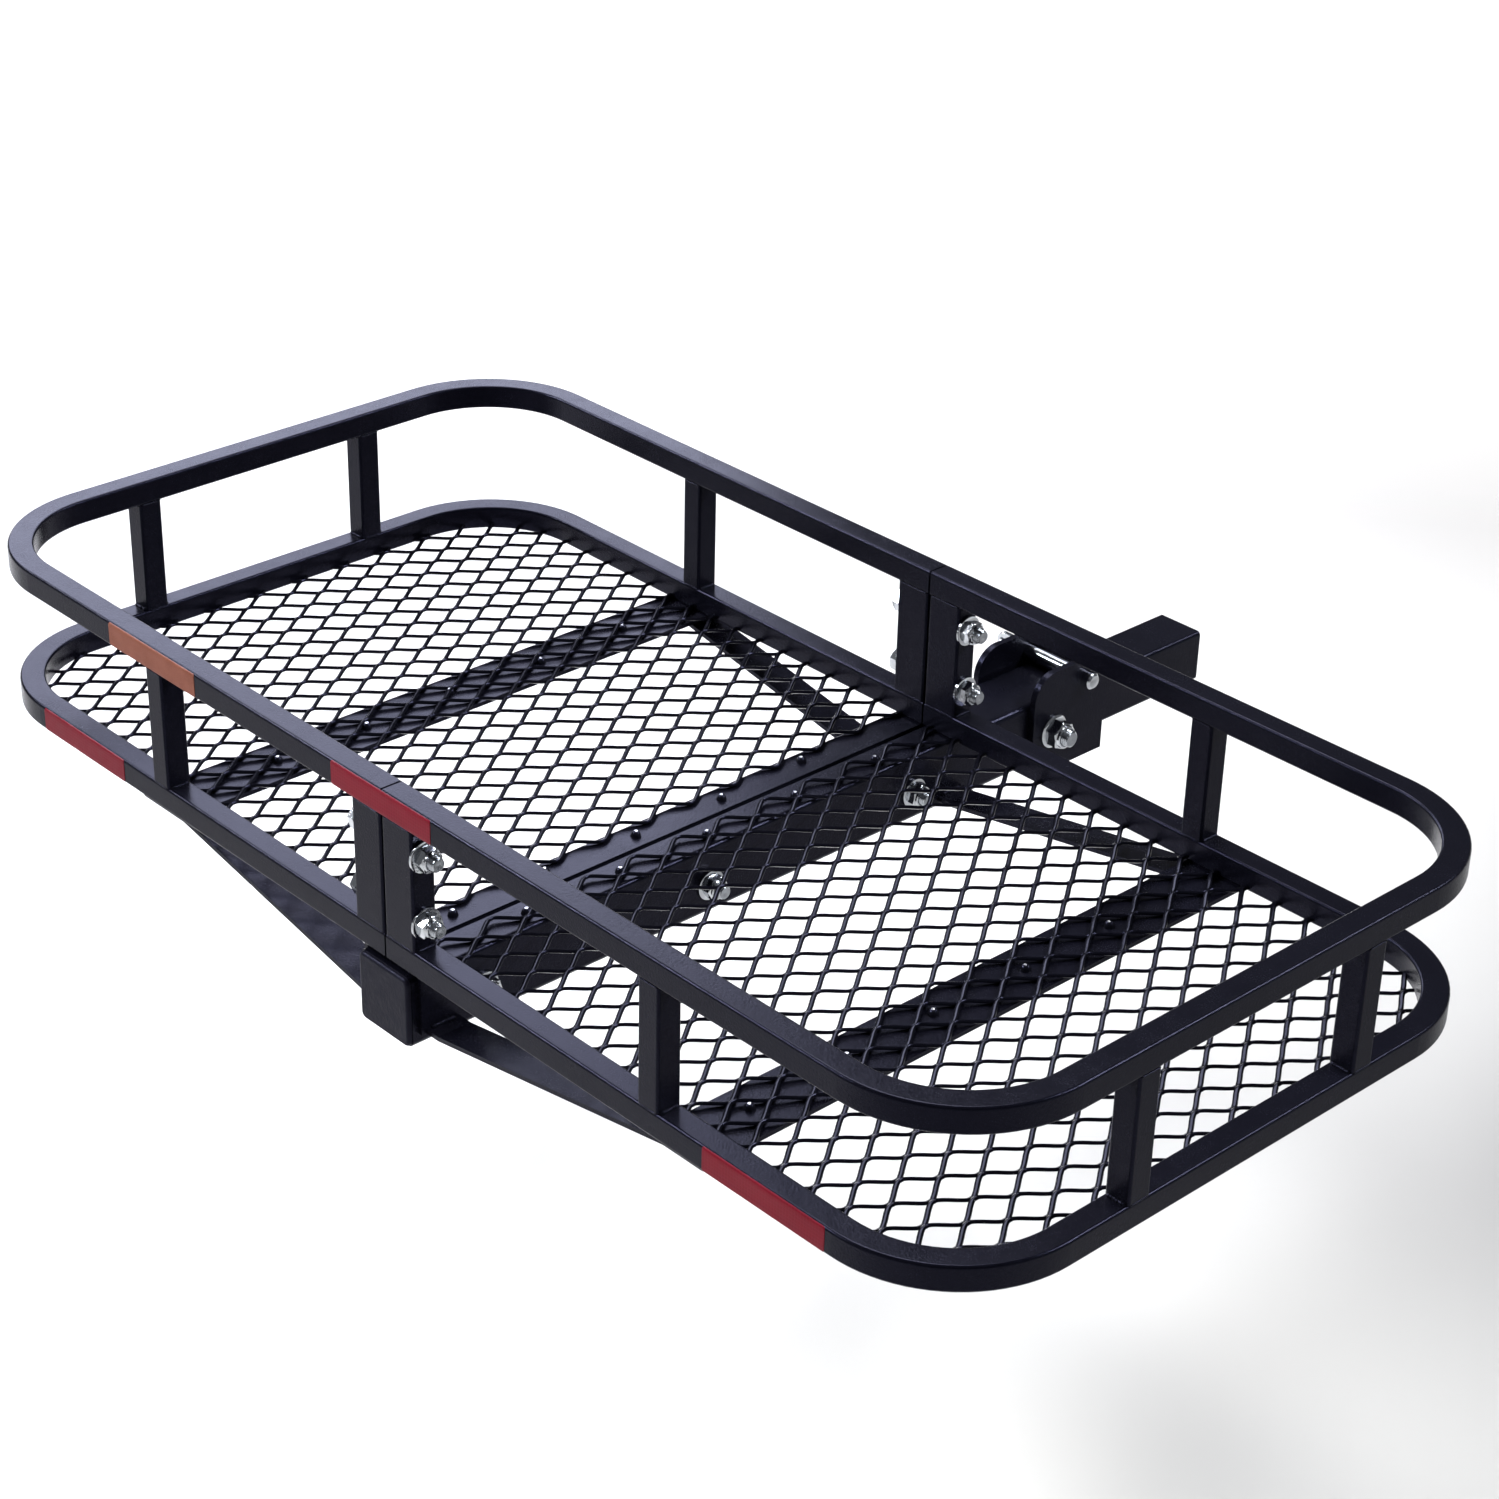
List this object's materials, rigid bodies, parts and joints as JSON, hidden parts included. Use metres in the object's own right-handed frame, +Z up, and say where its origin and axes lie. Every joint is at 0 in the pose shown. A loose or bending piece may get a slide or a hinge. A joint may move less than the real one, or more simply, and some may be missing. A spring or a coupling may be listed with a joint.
{
  "type": "hitch cargo carrier",
  "caption": "Low basket carrier of black square tube with an expanded metal floor, in two bolted halves on a square beam, with a folding shank for a hitch receiver.",
  "frame": {"origin": "centre of the hitch-pin hole, on the axis of the shank", "axes": "+X along the basket's long side, towards the side with the nuts; +Y towards the vehicle, along the shank; +Z up"},
  "size_m": [1.2192, 0.9386, 0.2257],
  "materials": {
    "black_steel": "satin powder coat",
    "mesh_steel": "satin powder coat",
    "zinc_steel": "bright zinc plating",
    "black_plastic": "moulded, lightly grained",
    "reflective_tape": "red retroreflective film",
    "label_film": "printed film"
  },
  "bodies": {
    "shank": {"shank_tube": "black_steel", "left_cheek_plate": "black_steel", "right_cheek_plate": "black_steel", "bracket_web": "black_steel", "pivot_bolt": "zinc_steel", "pivot_nut": "zinc_steel"},
    "basket": {"left_lower_rail": "black_steel", "left_upper_rail": "black_steel", "left_rear_post": "black_steel", "left_front_post": "black_steel", "left_end_rear_post": "black_steel", "left_end_front_post": "black_steel", "left_rear_seam_post": "black_steel", "left_front_seam_post": "black_steel", "left_cross_strip": "black_steel", "left_seam_angle": "black_steel", "left_floor_mesh": "mesh_steel", "rear_left_strap": "black_steel", "front_left_strap": "black_steel", "right_lower_rail": "black_steel", "right_upper_rail": "black_steel", "right_rear_post": "black_steel", "right_front_post": "black_steel", "right_end_rear_post": "black_steel", "right_end_front_post": "black_steel", "right_rear_seam_post": "black_steel", "right_front_seam_post": "black_steel", "right_cross_strip": "black_steel", "right_seam_angle": "black_steel", "right_floor_mesh": "mesh_steel", "rear_right_strap": "black_steel", "front_right_strap": "black_steel", "main_beam": "black_steel", "beam_end_cap": "black_plastic", "seam_bolts": "zinc_steel", "seam_nuts": "zinc_steel", "seam_washers": "zinc_steel", "beam_bolts": "zinc_steel", "beam_nuts": "zinc_steel", "beam_washers": "zinc_steel", "left_reflector": "reflective_tape", "right_reflector": "reflective_tape", "centre_reflector": "reflective_tape", "notice_label": "label_film"},
    "stop_pin": {"stop_pin": "zinc_steel"},
    "pull_ring": {"pull_ring": "zinc_steel"}
  },
  "joints": [
    {"name": "fold", "type": "hinge", "parent": "shank", "child": "basket", "pos_m": [0, -0.14, 0], "axis": [-1, 0, 0], "range_deg": [0, 90]},
    {"name": "stop_pin_slide", "type": "slide", "parent": "shank", "child": "stop_pin", "axis": [-1, 0, 0], "range_m": [0, 0.1]},
    {"name": "ring_swing", "type": "hinge", "parent": "stop_pin", "child": "pull_ring", "pos_m": [-0.06455, -0.1, 0.04], "axis": [0, 1, 0], "range_deg": [-40, 100]}
  ]
}
